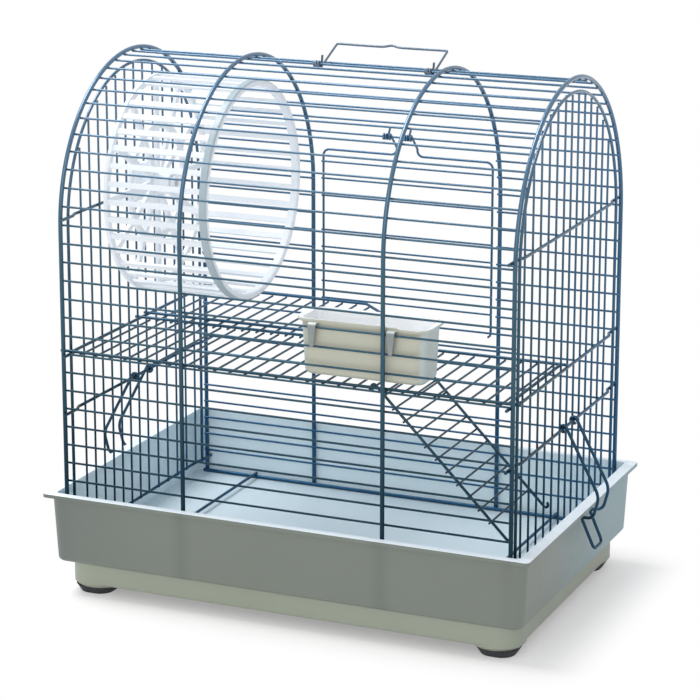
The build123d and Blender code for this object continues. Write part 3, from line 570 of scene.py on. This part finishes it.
def make_bowl_hook(number, x, box_low, box_high):
    """A rounded bridge over the wire, with a tongue that tapers down in front of it."""
    outer = box_low.y
    front = outer + HOOK_REACH
    back = front + HOOK_ROOT
    top = box_high.z - HOOK_DROP
    under = top - HOOK_THICKNESS
    left, right = x - HOOK_WIDTH / 2, x + HOOK_WIDTH / 2
    hook = add_block(f"bowl_hook_{number + 1}", (left, outer, under), (right, back, top))
    cut_across(1, [outer + 1.5 * MM, front - 0.6 * MM])
    pick("faces", lambda point, normal: normal.z < -0.9 and point.y < outer + 1.5 * MM)
    for drop, share in HOOK_TONGUE:
        extrude_down(drop * MM, share, 0.97, (x, outer + 0.5 * MM, under))
    # the bridge is arched, and widens where it joins the wall
    pick("verts", lambda point: point.z > top - 0.2 * MM and point.y < front - 0.3 * MM)
    bpy.ops.transform.translate(value=(0, 0, 0.3 * MM))
    pick("verts", lambda point: point.z > top - 0.2 * MM and point.y < outer + 0.2 * MM)
    bpy.ops.transform.translate(value=(0, 0.5 * MM, -0.6 * MM))
    pick("verts", lambda point: point.y > back - 0.2 * MM)
    bpy.ops.transform.resize(value=(1.9, 1.0, 1.0), center_override=(x, back, top))
    soften(hook, 0.4 * MM, 3)
    finish_piece(hook, "bowl", "bowl_plastic", hook_plastic)


# ---- carrying handle, and the wound ends of its feet and of the door ----
HANDLE_LEAN = 66                # degrees back from upright
HANDLE_REACH = 27 * MM          # from the ridge wire to the grip
HANDLE_BEND = 3.2 * MM          # how far from its corners the handle starts to bend
# points of the grip: mm right of its middle, mm out
HANDLE_GRIP = ((-7.5, -0.4), (-4, 0), (-0.5, 1.8), (1, 1.8), (5, 0.2), (8, -0.2))
HANDLE_COIL_START = 4.8 * MM    # how far left of its leg a coil starts
DOOR_COIL_START = 5.2 * MM      # how far left of its eye a coil starts


def make_handle():
    """A bail with a bump in the middle, whose legs turn under the ridge wire and wind round it."""
    box_low, box_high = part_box("handle")
    ridge_low, ridge_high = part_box("ridge_wire")
    ridge_z = (ridge_low.z + ridge_high.z) / 2
    left, right = box_low.x + COIL_WIRE / 2, box_high.x - COIL_WIRE / 2
    middle = (left + right) / 2 - 1 * MM
    lean = Matrix.Rotation(math.radians(-HANDLE_LEAN), 4, "X")
    grip = [Vector((middle + along * MM, COIL_RADIUS, HANDLE_REACH + out * MM))
            for along, out in HANDLE_GRIP]
    left_leg = [Vector((left, COIL_RADIUS, z)) for z in (3 * MM, HANDLE_REACH)]
    right_leg = [Vector((right, COIL_RADIUS, z)) for z in (HANDLE_REACH, 3 * MM)]
    bail = round_corners(left_leg + grip[:1], HANDLE_BEND)[:-1] + grip
    bail += round_corners(grip[-1:] + right_leg, HANDLE_BEND)[1:]

    def foot(x):
        across = [Vector((x, COIL_RADIUS, 0.6 * MM)),
                  Vector((x - 0.3 * MM, 1.1 * COIL_RADIUS, -1.1 * COIL_RADIUS)),
                  Vector((x - 3.4 * MM, -0.8 * MM, -1.1 * COIL_RADIUS))]
        turns = coil(Vector((x - HANDLE_COIL_START, 0, 0)), 200, 2.75)
        end = turns[-1] + Vector((0.3 * MM, 0, 0))
        tail = lean.inverted() @ Vector((0.5 * MM, -0.4 * MM, 4.6 * MM))
        return across + turns + [end + tail * 0.25, end + tail * 0.6, end + tail]

    points = foot(left)[::-1] + bail + foot(right)
    points = [lean @ point + Vector((0, 0, ridge_z)) for point in points]
    handle = bend_wire("carrying_handle", points, COIL_WIRE)
    finish_piece(handle, "handle", "handle_wire", handle_paint, "handle")


def make_door_coils():
    """Beside each eye of the door, its wire winds on round the hinge wire and ends in a tail."""
    joints = {joint["name"]: joint for joint in frame["record"]["behaviour"]["joints"]}
    hinge = Vector(joints["door_hinge"]["pos_m"])
    eye = 0.8 * MM              # from the side of the door's frame to the middle of its eye
    eyes = {"left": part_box("door_frame_left")[1].x - eye,
            "right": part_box("door_frame_right")[0].x + eye}
    for side, x in eyes.items():
        turns = coil(hinge + Vector((x - DOOR_COIL_START, 0, 0)), -90, 2.5)
        tail = [turns[-1] + Vector((0.4 * MM, 0.2 * MM, 1.5 * MM)),
                turns[-1] + Vector((0.9 * MM, 0.6 * MM, 4.2 * MM))]
        piece = bend_wire(f"door_{side}_coil", turns + tail, COIL_WIRE)
        finish_piece(piece, "door", "cage_wire", cage_paint)


make_bowl()
make_handle()
make_door_coils()


# ---- studio ----
FLOOR_INSET = 0.012             # full shadow up to this far inside the sides of the model's box
FLOOR_FADE = 0.045              # from there, the shadow fades out over this distance
FLOOR_GLOW_BELOW = 0.30         # share of the glow that is left in full shadow


def make_floor():
    bpy.ops.object.select_all(action="DESELECT")
    bpy.ops.mesh.primitive_plane_add(size=12.0, location=(0, 0, low.z))
    floor = bpy.context.object
    floor.name = "floor"
    bpy.ops.object.transform_apply(location=True)
    finish = Finish("floor_paper", Roughness=0.9)
    finish.set(Base_Color=finish.mix(finish.noise(3.0), (0.92, 0.885, 0.87), (0.94, 0.905, 0.89)))
    glow = finish.node("ShaderNodeEmission", sockets={"Color": (1, 1, 1, 1), "Strength": 1.0})
    rays = finish.node("ShaderNodeLightPath").socket.node.outputs
    seen = Value(finish.tree, rays["Is Camera Ray"]) + Value(finish.tree, rays["Is Glossy Ray"])
    seen = seen + Value(finish.tree, rays["Is Transmission Ray"])
    # the shadow is left only near the object: further out the paper glows a plain white
    beside_x = abs(finish.x) - (high.x - FLOOR_INSET)
    beside_y = abs(finish.y) - (high.y - FLOOR_INSET)
    beside_x = beside_x.calculate("MAXIMUM", beside_x, 0.0)
    beside_y = beside_y.calculate("MAXIMUM", beside_y, 0.0)
    away = (beside_x * beside_x + beside_y * beside_y) ** 0.5
    glow_share = FLOOR_GLOW_BELOW + (1.0 - FLOOR_GLOW_BELOW) * finish.ramp(away, 0.0, FLOOR_FADE)
    share = seen.calculate("MINIMUM", seen, 1.0) * glow_share
    paper = Value(finish.tree, finish.shader.outputs[0])
    mixed = finish.node("ShaderNodeMixShader", sockets={0: share, 1: paper, 2: glow})
    out = finish.tree.nodes["Material Output"].inputs["Surface"]
    give(finish.tree, out, mixed)
    floor.data.materials.append(finish.material)


def make_world():
    """The object gets a dim bluish light from all round, and the camera sees plain white."""
    world = bpy.data.worlds.new("studio")
    world.use_nodes = True
    bpy.context.scene.world = world
    tree = world.node_tree
    start = Value(tree, None)
    rays = start.node("ShaderNodeLightPath").socket.node.outputs
    seen = Value(tree, rays["Is Camera Ray"])
    room = tree.nodes["Background"]
    room.inputs["Color"].default_value = (0.92, 0.96, 1.0, 1.0)
    room.inputs["Strength"].default_value = 0.76
    white = start.node("ShaderNodeBackground", sockets={"Color": (1, 1, 1, 1), "Strength": 1.0})
    dim = Value(tree, room.outputs[0])
    mixed = start.node("ShaderNodeMixShader", sockets={0: seen, 1: dim, 2: white})
    give(tree, tree.nodes["World Output"].inputs["Surface"], mixed)


def make_lamp(name, place, target, size, power, colour):
    data = bpy.data.lights.new(name, "AREA")
    data.size = size
    data.energy = power
    data.color = colour
    lamp = bpy.data.objects.new(name, data)
    lamp.location = place
    lamp.rotation_euler = (Vector(target) - Vector(place)).to_track_quat("-Z", "Y").to_euler()
    bpy.context.scene.collection.objects.link(lamp)


def make_camera():
    data = bpy.data.cameras.new("camera")
    data.lens = 136.51
    data.sensor_width = 36.0
    data.shift_y = -0.12
    camera = bpy.data.objects.new("camera", data)
    camera.location = (0.65972, -1.52155, 0.60822)
    camera.rotation_euler = (math.radians(90 - 13.47), math.radians(-0.05), math.radians(23.36))
    bpy.context.scene.collection.objects.link(camera)
    bpy.context.scene.camera = camera


make_floor()
make_world()
make_lamp("top_lamp", (-0.9, 0.0, 1.8), (0, 0, 0.1), 0.9, 27.0, (1.0, 1.0, 1.0))
make_lamp("front_lamp", (0.4, -2.4, 1.2), (0, 0, 0.15), 1.6, 17.0, (1.0, 1.0, 1.0))
make_camera()
bpy.context.scene.view_settings.view_transform = "Standard"
